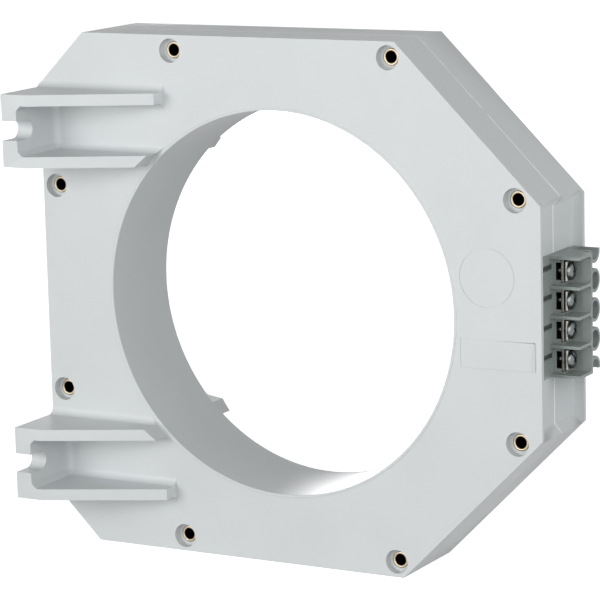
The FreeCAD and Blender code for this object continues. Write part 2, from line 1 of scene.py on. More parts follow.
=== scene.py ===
# %% [markdown]
# # A ring-type current transformer
#
# The part is a flat octagonal housing round a large window, with four bracket feet and
# a small terminal block. The solids come from the CAD model and are already in place.
# This lesson gives them their surfaces, makes what repeats with Geometry Nodes, and
# sets up a plain studio with the camera where the photographer stood.

# %% Load the frame
import math

import bmesh
import bpy
from mathutils import Matrix, Vector


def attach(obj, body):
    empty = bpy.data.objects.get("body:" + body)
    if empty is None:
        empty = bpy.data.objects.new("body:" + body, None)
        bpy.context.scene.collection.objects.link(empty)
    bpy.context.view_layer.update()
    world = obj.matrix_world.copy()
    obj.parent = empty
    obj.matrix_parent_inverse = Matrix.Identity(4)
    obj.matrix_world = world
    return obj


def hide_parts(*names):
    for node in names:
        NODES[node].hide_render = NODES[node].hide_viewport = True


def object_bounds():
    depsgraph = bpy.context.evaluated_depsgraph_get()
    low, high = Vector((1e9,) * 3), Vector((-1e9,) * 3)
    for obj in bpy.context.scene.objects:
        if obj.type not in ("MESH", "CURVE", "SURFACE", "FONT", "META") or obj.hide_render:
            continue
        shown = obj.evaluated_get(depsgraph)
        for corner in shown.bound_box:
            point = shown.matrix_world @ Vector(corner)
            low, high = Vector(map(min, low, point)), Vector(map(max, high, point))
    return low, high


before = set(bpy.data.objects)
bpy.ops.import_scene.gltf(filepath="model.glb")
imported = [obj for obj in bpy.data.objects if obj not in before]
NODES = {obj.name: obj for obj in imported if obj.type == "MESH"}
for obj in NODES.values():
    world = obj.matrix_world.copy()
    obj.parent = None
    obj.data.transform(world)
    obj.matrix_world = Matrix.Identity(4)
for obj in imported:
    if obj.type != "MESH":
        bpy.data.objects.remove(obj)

CAD_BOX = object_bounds()
MM = 0.001
scene = bpy.context.scene
print("CAD box in mm:", [[round(c / MM, 1) for c in corner] for corner in CAD_BOX])

# %% [markdown]
# ## Shared measures
#
# Some places are needed more than once: the levels of the four poles, the face of the
# housing, and the angle from which an edge counts as sharp. They are read off the CAD
# model in millimetres, because a drawing of such a part uses millimetres too.

# %% Name the shared measures
POLES = [24.2, 8.6, -7.0, -22.6]
FACE_Y = 28.0
WINDOW_R = 105.0
SHARP = math.radians(35)
print(len(POLES), "poles, faces at Y", -FACE_Y, "and", FACE_Y, "mm, window radius", WINDOW_R)

# %% [markdown]
# ## Colours
#
# The mouldings are a cool light grey and the terminal block a darker grey-green. Colours
# are easiest to judge as the numbers of a picture, so a helper turns those into the
# linear values that shaders use.

# %% Colour helper
def linear(red, green, blue):
    """Linear colour with alpha, from 8-bit picture values."""
    out = []
    for value in (red, green, blue):
        share = value / 255
        out.append(share / 12.92 if share <= 0.04045 else ((share + 0.055) / 1.055) ** 2.4)
    return (*out, 1.0)


HOUSING_GREY = (208, 212, 213)
BLOCK_GREY = (144, 153, 150)
ZINC = (126, 132, 132)
STRIP_ZINC = (176, 173, 166)
RIVET_BRASS = (202, 186, 160)
# The next three colours are painted light: near-black painted shade for deep hollows, grey painted
# shade for the slits, and a painted highlight for the seam.
HOLLOW_SHADE_PAINT = (22, 20, 18)
SLIT_SHADE_PAINT = (78, 84, 82)
SEAM_HIGHLIGHT_PAINT = (238, 240, 239)
CORE_STEEL = (120, 124, 130)
CASE_BLACK = (46, 46, 48)
COPPER = (176, 92, 48)
TAPE_YELLOW = (214, 196, 120)
FOAM_GREY = (66, 66, 70)
LEAD_BLACK = (36, 36, 38)
print("housing grey is", [round(c, 3) for c in linear(*HOUSING_GREY)[:3]])

# %% [markdown]
# ## A base for every finish
#
# Every finish here has the same three parts: a colour that drifts a little across the
# surface, a roughness that drifts too, and a fine bump. One function builds that tree, and
# each finish gives it its own sizes. The noise reads Object coordinates, so the pattern
# stays on the piece when the piece moves.

# %% Finish builder
def noise(tree, coords, size_mm, detail=3.0):
    """Noise whose features are about size_mm wide."""
    node = tree.nodes.new("ShaderNodeTexNoise")
    node.inputs["Scale"].default_value = 1000 / size_mm
    node.inputs["Detail"].default_value = detail
    tree.links.new(coords, node.inputs["Vector"])
    return node.outputs["Fac"]


def spread(tree, value, low, high, start=0.3, end=0.7):
    """Maps a range of a value onto another range."""
    node = tree.nodes.new("ShaderNodeMapRange")
    node.inputs["From Min"].default_value = start
    node.inputs["From Max"].default_value = end
    node.inputs["To Min"].default_value = low
    node.inputs["To Max"].default_value = high
    tree.links.new(value, node.inputs["Value"])
    return node.outputs["Result"]


def mixed(tree, factor, first, second):
    """Colour between two others."""
    node = tree.nodes.new("ShaderNodeMix")
    node.data_type = "RGBA"
    tree.links.new(factor, node.inputs[0])
    for socket, value in ((node.inputs[6], first), (node.inputs[7], second)):
        if isinstance(value, tuple):
            socket.default_value = value
        else:
            tree.links.new(value, socket)
    return node.outputs[2]


def finish_of(name, colour, drift=0.06, drift_mm=25.0, rough=(0.45, 0.55), grain_mm=0.6,
              bump_mm=0.02, metallic=0.0):
    """A finish with colour drift, roughness drift and a fine grain."""
    material = bpy.data.materials.new(name)
    material.use_nodes = True
    tree = material.node_tree
    shader = tree.nodes["Principled BSDF"]
    coords = tree.nodes.new("ShaderNodeTexCoord").outputs["Object"]
    base = linear(*colour)
    darker = tuple(c * (1 - drift) for c in base[:3]) + (1.0,)
    large = noise(tree, coords, drift_mm, 4.0)
    tint = mixed(tree, spread(tree, large, 0.0, 1.0), darker, base)
    tree.links.new(tint, shader.inputs["Base Color"])
    tree.links.new(spread(tree, large, *rough), shader.inputs["Roughness"])
    bump = tree.nodes.new("ShaderNodeBump")
    bump.inputs["Distance"].default_value = bump_mm * MM
    tree.links.new(noise(tree, coords, grain_mm), bump.inputs["Height"])
    tree.links.new(bump.outputs["Normal"], shader.inputs["Normal"])
    shader.inputs["Metallic"].default_value = metallic
    print("finish", name, "with grain of", grain_mm, "mm")
    return material


# %% [markdown]
# ## Finishes of the parts that show
#
# The housing is moulded in a mould with a fine spark-eroded texture, so it scatters
# light softly and shows faint flow shades over a few centimetres. The terminal block is
# a harder, slightly glossier plastic. Screws and plates are zinc plated, and the rivets
# are brass with a dull rim.

# %% Make the visible finishes
HOUSING = finish_of("housing_grey", HOUSING_GREY, drift=0.05, drift_mm=45, rough=(0.42, 0.52),
                    grain_mm=0.5, bump_mm=0.012)
BLOCK = finish_of("block_grey", BLOCK_GREY, drift=0.10, drift_mm=7, rough=(0.34, 0.48),
                  grain_mm=0.4, bump_mm=0.01)
PLATED = finish_of("zinc_plated_steel", ZINC, drift=0.25, drift_mm=2.5, rough=(0.2, 0.32),
                   grain_mm=0.25, bump_mm=0.006, metallic=1.0)
STAMPED = finish_of("stamped_zinc", STRIP_ZINC, drift=0.35, drift_mm=3, rough=(0.35, 0.5),
                    grain_mm=0.25, bump_mm=0.006, metallic=1.0)
BRASS = finish_of("brass", RIVET_BRASS, drift=0.35, drift_mm=3, rough=(0.35, 0.5),
                  grain_mm=0.3, bump_mm=0.008, metallic=1.0)

# %% [markdown]
# ## Painted shade in the hollows and a painted highlight on the seam
#
# The rivets' bores and the wire spaces of the block are narrow and deep, so they lie in
# deep shade, and that shade is painted into their colour as near black. The slits of the
# block's base get a grey painted shade too. The seam where the two shells meet gets a
# painted highlight, a fine bright line along the parting line. All of these are tones
# inside boxes of Object coordinates. A texture could hold them as well, but a box is exact
# and needs no picture. Each box ends short of the faces that keep their colour.

# %% Paint shade into the hollows and a highlight onto the seam
def inside_box(tree, coords, low, high):
    """1 for points inside a box given in mm, else 0."""
    split = tree.nodes.new("ShaderNodeSeparateXYZ")
    tree.links.new(coords, split.inputs[0])
    total = None
    for axis in range(3):
        away = tree.nodes.new("ShaderNodeMath")
        away.operation = "COMPARE"
        tree.links.new(split.outputs[axis], away.inputs[0])
        away.inputs[1].default_value = (low[axis] + high[axis]) / 2 * MM
        away.inputs[2].default_value = (high[axis] - low[axis]) / 2 * MM
        if total is None:
            total = away.outputs[0]
            continue
        both = tree.nodes.new("ShaderNodeMath")
        both.operation = "MULTIPLY"
        tree.links.new(total, both.inputs[0])
        tree.links.new(away.outputs[0], both.inputs[1])
        total = both.outputs[0]
    return total


def tone_inside(material, colour, low, high):
    """Gives a finish another colour inside a box given in mm."""
    tree = material.node_tree
    coords = tree.nodes.new("ShaderNodeTexCoord").outputs["Object"]
    target = tree.nodes["Principled BSDF"].inputs["Base Color"]
    before = target.links[0].from_socket
    other = linear(*colour)
    tree.links.new(mixed(tree, inside_box(tree, coords, low, high), before, other), target)


FAR = 200
SEAM_HALF = 0.4
OUTSIDE_X, OUTSIDE_Z = 112, 107

# Painted shade: the rivets' deep bores are coloured near black.
tone_inside(BRASS, HOLLOW_SHADE_PAINT, (-FAR, -22.95, -FAR), (FAR, 22.95, FAR))
# Painted shade: the block's wire spaces are coloured near black.
tone_inside(BLOCK, HOLLOW_SHADE_PAINT, (152.05, -3.85, -29), (154.95, 7.1, 31))
# Painted shade: the slits of the block's base are coloured a darker grey, on top of being cut
# deeper.
for z in POLES:
    tone_inside(BLOCK, SLIT_SHADE_PAINT, (148.95, -15.9, z + 1.2), (150.6, -5.5, z + 4.0))
# Painted highlight: a fine bright line along the seam between the shells, outside the window.
for x0, z0, x1, z1 in ((OUTSIDE_X, -FAR, FAR, FAR), (-OUTSIDE_X, OUTSIDE_Z, OUTSIDE_X, FAR),
                       (-OUTSIDE_X, -FAR, OUTSIDE_X, -OUTSIDE_Z), (-FAR, -FAR, -OUTSIDE_X, FAR)):
    tone_inside(HOUSING, SEAM_HIGHLIGHT_PAINT, (x0, -SEAM_HALF, z0), (x1, SEAM_HALF, z1))
print("dark bores, wire spaces and slits, light seam", 2 * SEAM_HALF, "mm wide")

# %% [markdown]
# ## Finishes of the parts inside
#
# Inside the housing are the wound core in its case, the copper winding, a wrap of tape
# and foam pads. They don't show from outside, but each has the finish of its material.

# %% Make the hidden finishes
CORE = finish_of("core_steel", CORE_STEEL, drift=0.3, drift_mm=0.8, rough=(0.35, 0.5),
                 grain_mm=0.3, bump_mm=0.02, metallic=1.0)
CASE = finish_of("case_plastic", CASE_BLACK, drift=0.15, drift_mm=12, grain_mm=0.5)
WIRE = finish_of("copper_wire", COPPER, drift=0.2, drift_mm=4, rough=(0.2, 0.35),
                 grain_mm=0.5, bump_mm=0.005, metallic=1.0)
TAPE = finish_of("tape", TAPE_YELLOW, drift=0.15, drift_mm=6, rough=(0.3, 0.45), grain_mm=0.4)
FOAM = finish_of("foam", FOAM_GREY, drift=0.3, drift_mm=1.5, rough=(0.8, 0.95),
                 grain_mm=0.8, bump_mm=0.2)
LEAD = finish_of("lead_insulation", LEAD_BLACK, drift=0.2, drift_mm=5, rough=(0.4, 0.55))

# %% [markdown]
# The core is wound from thin strip, so its flat faces show the strip's edges as fine
# rings. The distance from the window's axis drives a sine wave, and the wave goes into
# the bump in place of more geometry.

# %% Strip layers of the core
STRIP_MM = 0.3


def ring_lines(material, spacing_mm, depth_mm):
    """Adds fine rings round the Y axis to a finish's bump."""
    tree = material.node_tree
    coords = tree.nodes.new("ShaderNodeTexCoord").outputs["Object"]
    flat = tree.nodes.new("ShaderNodeVectorMath")
    flat.operation = "MULTIPLY"
    flat.inputs[1].default_value = (1, 0, 1)
    tree.links.new(coords, flat.inputs[0])
    radius = tree.nodes.new("ShaderNodeVectorMath")
    radius.operation = "LENGTH"
    tree.links.new(flat.outputs["Vector"], radius.inputs[0])
    phase = tree.nodes.new("ShaderNodeMath")
    phase.operation = "MULTIPLY"
    phase.inputs[1].default_value = math.tau / (spacing_mm * MM)
    tree.links.new(radius.outputs["Value"], phase.inputs[0])
    wave = tree.nodes.new("ShaderNodeMath")
    wave.operation = "SINE"
    tree.links.new(phase.outputs[0], wave.inputs[0])
    lines = tree.nodes.new("ShaderNodeBump")
    lines.inputs["Distance"].default_value = depth_mm * MM
    tree.links.new(wave.outputs[0], lines.inputs["Height"])
    grain = next(n for n in tree.nodes if n.type == "BUMP" and n != lines)
    tree.links.new(grain.outputs["Normal"], lines.inputs["Normal"])
    tree.links.new(lines.outputs["Normal"], tree.nodes["Principled BSDF"].inputs["Normal"])


ring_lines(CORE, STRIP_MM, 0.03)
print("strip layers every", STRIP_MM, "mm")

# %% [markdown]
# ## Dress the CAD nodes
#
# Every node first gets the finish of its material. The nodes that a finer piece replaces
# later keep it too, so nothing is ever bare.

# %% Dress the nodes
FINISHES = {"front_shell": HOUSING, "rear_shell": HOUSING, "hollow_rivets": BRASS,
            "magnetic_core": CORE, "core_case_tray": CASE, "core_case_lid": CASE,
            "secondary_winding": WIRE, "insulation_tape": TAPE, "test_winding": WIRE,
            "foam_pads": FOAM, "winding_leads": LEAD, "terminal_block": BLOCK,
            "block_fixing_screws": PLATED}


def dress(obj, finish):
    """Gives a CAD node its finish."""
    if not obj.material_slots:
        obj.data.materials.append(finish)
    for entry in obj.material_slots:
        entry.link = "OBJECT"
        entry.material = finish


for node in NODES:
    dress(NODES[node], FINISHES.get(node, PLATED))
print("dressed", len(NODES), "nodes")

# %% [markdown]
# ## Moulded edges
#
# A mould never gives a knife edge. The CAD solids have sharp ones, and only a rounded edge
# catches the thin highlight that makes plastic look real. A copy of a node's mesh is
# merged and its flat faces joined. Then Bevel rounds all sharp edges, or only those that
# were marked, and Weighted Normal keeps the large faces flat in the shading. With an edge
# of 0 only the normals change, which is what a mesh needs after a cut.

# %% Helpers for moulded copies
def placed(name, mesh, finish, body, slot, *stands_for):
    """Puts a finished mesh in the scene as a piece of one body."""
    obj = bpy.data.objects.new(name, mesh)
    scene.collection.objects.link(obj)
    mesh.name = name
    mesh.materials.clear()
    mesh.materials.append(finish)
    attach(obj, body)
    if stands_for:
        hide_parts(*stands_for)
    return obj


def join_flat(work):
    """Merges points that coincide and joins faces that lie in one plane."""
    bmesh.ops.remove_doubles(work, verts=work.verts, dist=0.002 * MM)
    bmesh.ops.dissolve_limit(work, angle_limit=math.radians(0.3), verts=work.verts,
                             edges=work.edges)


def merged_copy(node):
    """Copy of a node's mesh with its triangles merged and its flat faces joined."""
    work = bmesh.new()
    work.from_mesh(NODES[node].data)
    join_flat(work)
    mesh = bpy.data.meshes.new(node + "_copy")
    work.to_mesh(mesh)
    work.free()
    return mesh


def rounded(mesh, edge_mm, only_marked=False):
    """The mesh with its sharp edges, or only its marked ones, rounded, as a new mesh."""
    mesh.polygons.foreach_set("use_smooth", [True] * len(mesh.polygons))
    carrier = bpy.data.objects.new("carrier", mesh)
    scene.collection.objects.link(carrier)
    if edge_mm:
        bevel = carrier.modifiers.new("edges", "BEVEL")
        bevel.width = edge_mm * MM
        bevel.segments = 2
        bevel.limit_method = "WEIGHT" if only_marked else "ANGLE"
        bevel.angle_limit = SHARP
        bevel.use_clamp_overlap = True
    normals = carrier.modifiers.new("normals", "WEIGHTED_NORMAL")
    normals.keep_sharp = only_marked or not edge_mm
    view = bpy.context.evaluated_depsgraph_get()
    result = bpy.data.meshes.new_from_object(carrier.evaluated_get(view))
    bpy.data.objects.remove(carrier)
    return result


# %% [markdown]
# ## Cutting and joining
#
# Details that are cut into a piece need a cutting shape and a boolean. The cutters are
# boxes or short prisms along X. Afterwards the mesh is smooth with its sharp edges kept.

# %% Cutting helpers
def smooth(mesh):
    """Smooth shading with sharp edges kept."""
    mesh.polygons.foreach_set("use_smooth", [True] * len(mesh.polygons))
    mesh.set_sharp_from_angle(angle=SHARP)
    return mesh


def joined(name, meshes):
    """One mesh from several."""
    work = bmesh.new()
    for mesh in meshes:
        work.from_mesh(mesh)
    out = bpy.data.meshes.new(name)
    work.to_mesh(out)
    work.free()
    return smooth(out)


def carved(mesh, tool):
    """The mesh with a tool mesh cut out of it."""
    pair = []
    for part in (mesh, tool):
        obj = bpy.data.objects.new("carrier", part)
        scene.collection.objects.link(obj)
        pair.append(obj)
    cut = pair[0].modifiers.new("cut", "BOOLEAN")
    cut.operation = "DIFFERENCE"
    cut.solver = "EXACT"
    cut.object = pair[1]
    view = bpy.context.evaluated_depsgraph_get()
    result = bpy.data.meshes.new_from_object(pair[0].evaluated_get(view))
    for obj in pair:
        bpy.data.objects.remove(obj)
    return smooth(result)


def block_of(name, size, place, angle_deg=0.0):
    """Box mesh, in mm, turned about X and then moved."""
    work = bmesh.new()
    bmesh.ops.create_cube(work, size=MM)
    bmesh.ops.scale(work, vec=size, verts=work.verts)
    turn = Matrix.Rotation(math.radians(angle_deg), 4, "X")
    bmesh.ops.transform(work, matrix=Matrix.Translation(Vector(place) * MM) @ turn,
                        verts=work.verts)
    mesh = bpy.data.meshes.new(name)
    work.to_mesh(mesh)
    work.free()
    return mesh


def prism_of(name, outline, start_x, end_x):
    """Prism mesh along X, in mm, from Y and Z pairs."""
    work = bmesh.new()
    ends = [[work.verts.new(Vector((x, y, z)) * MM) for y, z in outline]
            for x in (start_x, end_x)]
    work.faces.new(ends[0])
    work.faces.new(ends[1])
    for i in range(len(outline)):
        j = (i + 1) % len(outline)
        work.faces.new((ends[0][i], ends[0][j], ends[1][j], ends[1][i]))
    bmesh.ops.recalc_face_normals(work, faces=work.faces)
    mesh = bpy.data.meshes.new(name)
    work.to_mesh(mesh)
    work.free()
    return mesh


# %% [markdown]
# ## The two shells
#
# Both shells get the edges of their faces, brackets and terminal side rounded. The shallow
# disc and panel of the CAD are lifted back to the face first, because a step of a third of
# a millimetre would limit the bevel everywhere. Their outlines are cut again further down.
# Edges that aren't rounded are marked sharp, so that the shading doesn't bend round them.

# %% Mould the shells
SHELL_EDGE = 0.45
MARK_FLOOR_Y = -27.7
OUTER_Y = 25.2
TERMINAL_X, SEAM_EDGE_Y = 148.5, 3.5


def without_marks(mesh):
    """Lifts the floors of the shallow front marks back to the face, and joins the flat faces."""
    work = bmesh.new()
    work.from_mesh(mesh)
    for vert in work.verts:
        if abs(vert.co.y / MM - MARK_FLOOR_Y) < 0.02 and vert.co.x > 0.1:
            vert.co.y = -FACE_Y * MM
    join_flat(work)
    work.to_mesh(mesh)
    work.free()
    return mesh


def mark_outer_edges(mesh):
    """Marks the sharp outer edges for the bevel and the other sharp edges as sharp."""
    work = bmesh.new()
    work.from_mesh(mesh)
    weight = work.edges.layers.float.new("bevel_weight_edge")
    count = 0
    for edge in work.edges:
        if len(edge.link_faces) != 2 or edge.calc_face_angle(0) < SHARP:
            continue
        ends = [v.co / MM for v in edge.verts]
        if all(abs(c.y) > OUTER_Y or (c.x > TERMINAL_X and abs(c.y) > SEAM_EDGE_Y) for c in ends):
            edge[weight] = 1.0
            count += 1
        else:
            edge.smooth = False
    work.to_mesh(mesh)
    work.free()
    print("marked", count, "edges")
    return mesh


front_mesh, rear_mesh = [
    rounded(mark_outer_edges(without_marks(merged_copy(node))), SHELL_EDGE, only_marked=True)
    for node in ("front_shell", "rear_shell")]
placed("rear_moulding", rear_mesh, HOUSING, "housing", "housing_grey", "rear_shell")
print("rear_moulding has", len(rear_mesh.polygons), "faces")

# %% [markdown]
# ## The terminal block
#
# The block is one moulding with a row of open troughs for the screws. Each trough of the
# CAD is opened up to a nearly square hollow with small bevels at the back, as the photo
# shows, and the slits of the base plate get their depth. Booleans are right for this,
# because the cuts are few and their places are known.

# %% Mould the block
TROUGH_X, TROUGH_END_X = 156.4, 170
TROUGH_HALF = 7.0
TROUGH_BACK_Y = 7.0
TROUGH_BEVEL = 1.5
SLIT_SIZE = (1.4, 11, 2.0)
SLIT_X, SLIT_Y, SLIT_RAISE = 149.75, -11.7, 2.6
BLOCK_EDGE = 0.16

half, back, cut = TROUGH_HALF, TROUGH_BACK_Y, TROUGH_BEVEL
trough = [(-1, -half), (back - cut, -half), (back, cut - half), (back, half - cut),
          (back - cut, half), (-1, half)]
block = merged_copy("terminal_block")
for z in POLES:
    outline = [(y, z + dz) for y, dz in trough]
    block = carved(block, prism_of("trough", outline, TROUGH_X, TROUGH_END_X))
    block = carved(block, block_of("slit", SLIT_SIZE, (SLIT_X, SLIT_Y, z + SLIT_RAISE)))
block = rounded(block, BLOCK_EDGE)
placed("block_moulding", block, BLOCK, "housing", "block_grey", "terminal_block")
print("block_moulding has", len(block.polygons), "faces")

# %% [markdown]
# ## Round shapes
#
# Rings, rivets and screws are all turned shapes. One function spins a list of radius and
# position pairs round an axis. A point with radius 0 becomes one vertex, so poles stay
# closed, and edges sharper than 35 degrees stay sharp in the shading.

# %% Lathe
def lathe(name, profile, steps, axis, centre=(0, 0, 0), closed=True):
    """Mesh spun from radius and position pairs, in mm, round the X or Y axis."""
    work = bmesh.new()
    middle = Vector(centre) * MM
    rings = []
    for radius, along in profile:
        ring = []
        for i in range(steps if radius else 1):
            angle = math.tau * i / steps
            one, two = radius * math.cos(angle), radius * math.sin(angle)
            place = (along, one, two) if axis == "X" else (one, along, two)
            ring.append(work.verts.new(middle + Vector(place) * MM))
        rings.append(ring)
    pairs = list(zip(rings, rings[1:])) + ([(rings[-1], rings[0])] if closed else [])
    for first, second in pairs:
        for i in range(steps):
            j = (i + 1) % steps
            corners = (first[i % len(first)], first[j % len(first)],
                       second[j % len(second)], second[i % len(second)])
            work.faces.new(list(dict.fromkeys(corners)))
    bmesh.ops.recalc_face_normals(work, faces=work.faces)
    mesh = bpy.data.meshes.new(name)
    work.to_mesh(mesh)
    work.free()
    return smooth(mesh)


# %% [markdown]
# ## Disc and panel on the front
#
# A round disc and a flat panel are moulded into the front face. Only their outlines show,
# as fine lines, so they are cut as narrow grooves. A ring from the lathe cuts the disc's
# line, and four thin boxes cut the panel's. The panel stays bare.

# %% Cut the front marks
MARK_X, DISC_Z, DISC_R = 124.0, 22.8, 15.8
PANEL = (108.2, 151.0, -25.4, -9.4)
GROOVE, GROOVE_DEEP = 0.6, 0.3


def frame_cutter(x0, x1, z0, z1, width, y0, y1):
    """Four thin boxes that cut the outline of a rectangle."""
    tools = []
    for xa, xb, za, zb in ((x0, x1, z0, z0 + width), (x0, x1, z1 - width, z1),
                           (x0, x0 + width, z0 + width, z1 - width),
                           (x1 - width, x1, z0 + width, z1 - width)):
        size = (xb - xa, y1 - y0, zb - za)
        tools.append(block_of("line", size, ((xa + xb) / 2, (y0 + y1) / 2, (za + zb) / 2)))
    return tools


low, high = -FACE_Y - 1, -FACE_Y + GROOVE_DEEP
ring_tool = lathe("ring", [(DISC_R - GROOVE, low), (DISC_R, low), (DISC_R, high),
                           (DISC_R - GROOVE, high)], 96, "Y", (MARK_X, 0, DISC_Z))
for tool in [ring_tool] + frame_cutter(*PANEL, GROOVE, low, high):
    front_mesh = carved(front_mesh, tool)
front_mesh = rounded(front_mesh, 0)
placed("front_moulding", front_mesh, HOUSING, "housing", "housing_grey", "front_shell")
print("front_moulding has", len(front_mesh.polygons), "faces")

# %% [markdown]
# ## Collar round the window
#
# A thin raised rim runs round the window on both faces. On the real part it stiffens the
# edge that cables rub against. It shows as a fine bright line in the photo.

# %% Make the collars
COLLAR_WIDTH = 1.4
COLLAR_RISE = 0.4
COLLAR_INSET, COLLAR_DEEP, BEVEL = 0.15, 0.6, 0.3

inner, outer = WINDOW_R - COLLAR_INSET, WINDOW_R + COLLAR_WIDTH
low, high = FACE_Y - COLLAR_DEEP, FACE_Y + COLLAR_RISE
profile = [(inner, low), (inner, high - BEVEL), (inner + BEVEL, high), (outer - BEVEL, high),
           (outer, high - BEVEL), (outer, low)]
for name, side in (("window_collar_front", -1), ("window_collar_rear", 1)):
    mesh = lathe(name, [(r, side * y) for r, y in profile], 192, "Y")
    placed(name, mesh, HOUSING, "housing", "housing_grey")
    print(name, "rises", COLLAR_RISE, "mm over the face")

# %% [markdown]
# ## Node group helpers
#
# What repeats is made with Geometry Nodes. Three short functions make a group with named
# inputs, add nodes to it, and run it once so that the result is a plain mesh.

# %% Node group helpers
def new_group(name, inputs):
    """Geometry Nodes group with named inputs, given as label: (kind, default)."""
    group = bpy.data.node_groups.new(name, "GeometryNodeTree")
    group.interface.new_socket("Geometry", in_out="INPUT", socket_type="NodeSocketGeometry")
    for label, (kind, default) in inputs.items():
        socket = group.interface.new_socket(label, in_out="INPUT", socket_type="NodeSocket" + kind)
        if default is not None:
            socket.default_value = default
    group.interface.new_socket("Geometry", in_out="OUTPUT", socket_type="NodeSocketGeometry")
    return group, group.nodes.new("NodeGroupInput").outputs


def put(group, kind, *values, **settings):
    """Adds a node, sets its settings, and fills its enabled inputs in order. None skips one."""
    node = group.nodes.new(kind)
    for key, value in settings.items():
        setattr(node, key, value)
    sockets = [socket for socket in node.inputs if socket.enabled]
    for socket, value in zip(sockets, values):
        if isinstance(value, bpy.types.NodeSocket):
            group.links.new(value, socket)
        elif value is not None:
            socket.default_value = value
    return node.outputs[0]


def random_of(group, most, seed):
    """Random number from 0 to a highest value."""
    node = group.nodes.new("FunctionNodeRandomValue")
    node.data_type = "FLOAT"
    group.links.new(most, node.inputs[3])
    group.links.new(seed, node.inputs["Seed"])
    return node.outputs[1]


def close_group(group, geometry, material):
    """Ends a group in Realize Instances and Set Material."""
    real = put(group, "GeometryNodeRealizeInstances", geometry)
    painted = put(group, "GeometryNodeSetMaterial", real, True, material)
    group.links.new(painted, group.nodes.new("NodeGroupOutput").inputs[0])


def run_group(name, group, values, points=()):
    """Runs a group once on loose points, in mm, and returns the result as a plain mesh."""
    carrier = bpy.data.meshes.new(name)
    carrier.from_pydata([Vector(p) * MM for p in points], [], [])
    obj = bpy.data.objects.new(name, carrier)
    scene.collection.objects.link(obj)
    modifier = obj.modifiers.new("nodes", "NODES")
    modifier.node_group = group
    for item in group.interface.items_tree:
        if item.in_out == "INPUT" and item.name in values:
            modifier[item.identifier] = values[item.name]
    view = bpy.context.evaluated_depsgraph_get()
    mesh = bpy.data.meshes.new_from_object(obj.evaluated_get(view))
    obj.modifiers.remove(modifier)
    bpy.data.objects.remove(obj)
    print(name, "has", len(mesh.polygons), "faces")
    return mesh


# %% [markdown]
# ## Hollow rivets
#
# Brass tubes hold the two shells together. Each end was rolled outwards in a press, so it
# is a round lip and not a flat flange. One rivet is turned on the lathe from its section.

# %% Turn one rivet
BORE_R = 3.15
TUBE_R = 3.6
LIP_R = 4.65
SEAT_Y = 23.03
LIP_TOP_Y = 23.72


def rivet_profile():
    """Section of one rivet as radius and Y pairs, from the front end to the rear end."""
    lip_middle = (BORE_R + LIP_R) / 2
    half = (LIP_R - BORE_R) / 2
    end = [(TUBE_R, SEAT_Y), (LIP_R - 0.1, SEAT_Y)]
    for i in range(7):
        angle = math.pi * i / 6
        end.append((lip_middle + half * math.cos(angle),
                    SEAT_Y + 0.12 + (LIP_TOP_Y - SEAT_Y - 0.12) * math.sin(angle)))
    return [(r, -y) for r, y in end] + [(r, y) for r, y in reversed(end)]


one_rivet = bpy.data.objects.new("one_rivet", lathe("one_rivet", rivet_profile(), 40, "Y"))
scene.collection.objects.link(one_rivet)
print("rivet section has", len(rivet_profile()), "points")

# %% [markdown]
# ## Eight places for the rivet
#
# A node group sets the rivet on the eight points. Eight copies by hand would do as well,
# but the group also gives each its own random turn, so that no two show the same shades.

# %% Set the rivets with a node group
RIVETS = [(-63.5, 0, 135.0), (68.5, 0, 135.0), (140.2, 0, 63.9), (-140.0, 0, 57.8)]
RIVETS += [(x, 0, -z) for x, _, z in RIVETS]

copies, given = new_group("copies_on_points", {
    "Shape": ("Object", None), "Turn": ("Float", math.tau), "Seed": ("Int", 3),
    "Material": ("Material", None)})
info = copies.nodes.new("GeometryNodeObjectInfo")
copies.links.new(given["Shape"], info.inputs["Object"])
spin = put(copies, "FunctionNodeAxisAngleToRotation", (0, 1, 0),
           random_of(copies, given["Turn"], given["Seed"]))
dots = put(copies, "GeometryNodeMeshToPoints", given["Geometry"])
stood = put(copies, "GeometryNodeInstanceOnPoints", dots, True, info.outputs["Geometry"], False,
            None, spin)
close_group(copies, stood, given["Material"])

mesh = run_group("rivets", copies, {"Shape": one_rivet, "Material": BRASS}, RIVETS)
bpy.data.objects.remove(one_rivet)
placed("rivets", smooth(mesh), BRASS, "housing", "brass", "hollow_rivets")

# %% [markdown]
# ## Screw thread
#
# A real thread is rolled. Here it is a spiral swept with a small triangle, made with
# Geometry Nodes because its pitch, length and radius are just three numbers.

# %% Thread group
thread, given = new_group("thread", {
    "Radius": ("Float", 0.0017), "Pitch": ("Float", 0.0007), "Turns": ("Float", 8.0),
    "Tooth": ("Float", 0.00028), "Material": ("Material", None)})
height = put(thread, "ShaderNodeMath", given["Pitch"], given["Turns"], operation="MULTIPLY")
spiral = put(thread, "GeometryNodeCurveSpiral", 18, given["Turns"], given["Radius"],
             given["Radius"], height)
tooth = put(thread, "GeometryNodeCurvePrimitiveCircle", 3, 1.0)
size = put(thread, "ShaderNodeCombineXYZ", given["Tooth"], given["Tooth"], given["Tooth"])
tooth = put(thread, "GeometryNodeTransform", tooth, None, None, size)
swept = put(thread, "GeometryNodeCurveToMesh", spiral, tooth, 1.0, True)
laid = put(thread, "GeometryNodeTransform", swept, None, (0, math.pi / 2, 0))
close_group(thread, laid, given["Material"])

# %% [markdown]
# ## Terminal screws
#
# Each pole has a short screw with a domed head. The head is turned on the lathe, and two
# boxes cut out the slot and the small cross that terminal screws usually combine. The
# slots stand at different angles, because nobody tightens screws to the same one.

